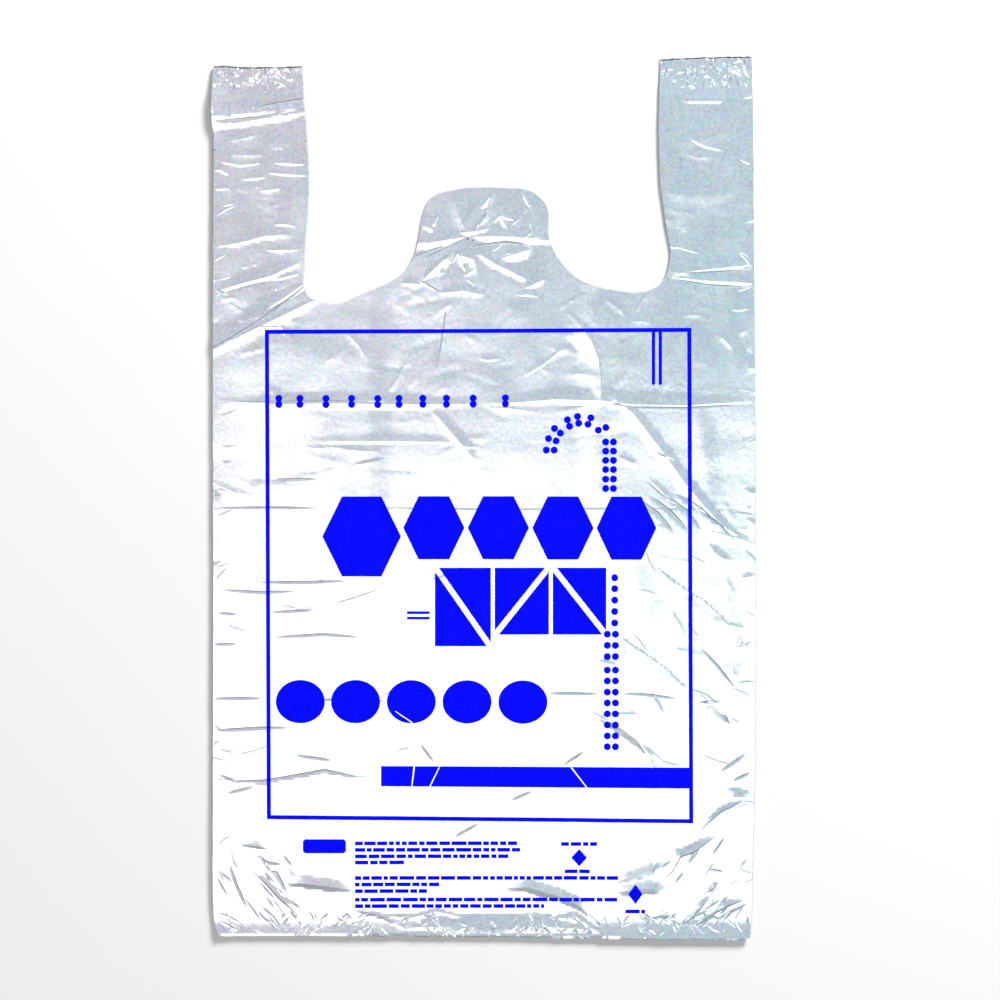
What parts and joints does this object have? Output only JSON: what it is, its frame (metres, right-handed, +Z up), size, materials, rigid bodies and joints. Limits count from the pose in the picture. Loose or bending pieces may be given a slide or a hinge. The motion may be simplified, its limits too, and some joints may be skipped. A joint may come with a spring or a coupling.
{
  "type": "plastic carrier bag",
  "caption": "Flat-lying white film carrier bag with vest handles, side gussets, a centre tab and a bold geometric print.",
  "frame": {"origin": "on the surface the bag lies on, midway between its side folds and midway along its length", "axes": "+Y along the bag towards the handle ends, +X across it, +Z up out of the printed front panel"},
  "size_m": [0.3, 0.49, 0.0031],
  "materials": {
    "white_film": "thin translucent film with a soft sheen"
  },
  "bodies": {
    "root": {"carrier_bag": "white_film"}
  },
  "joints": []
}
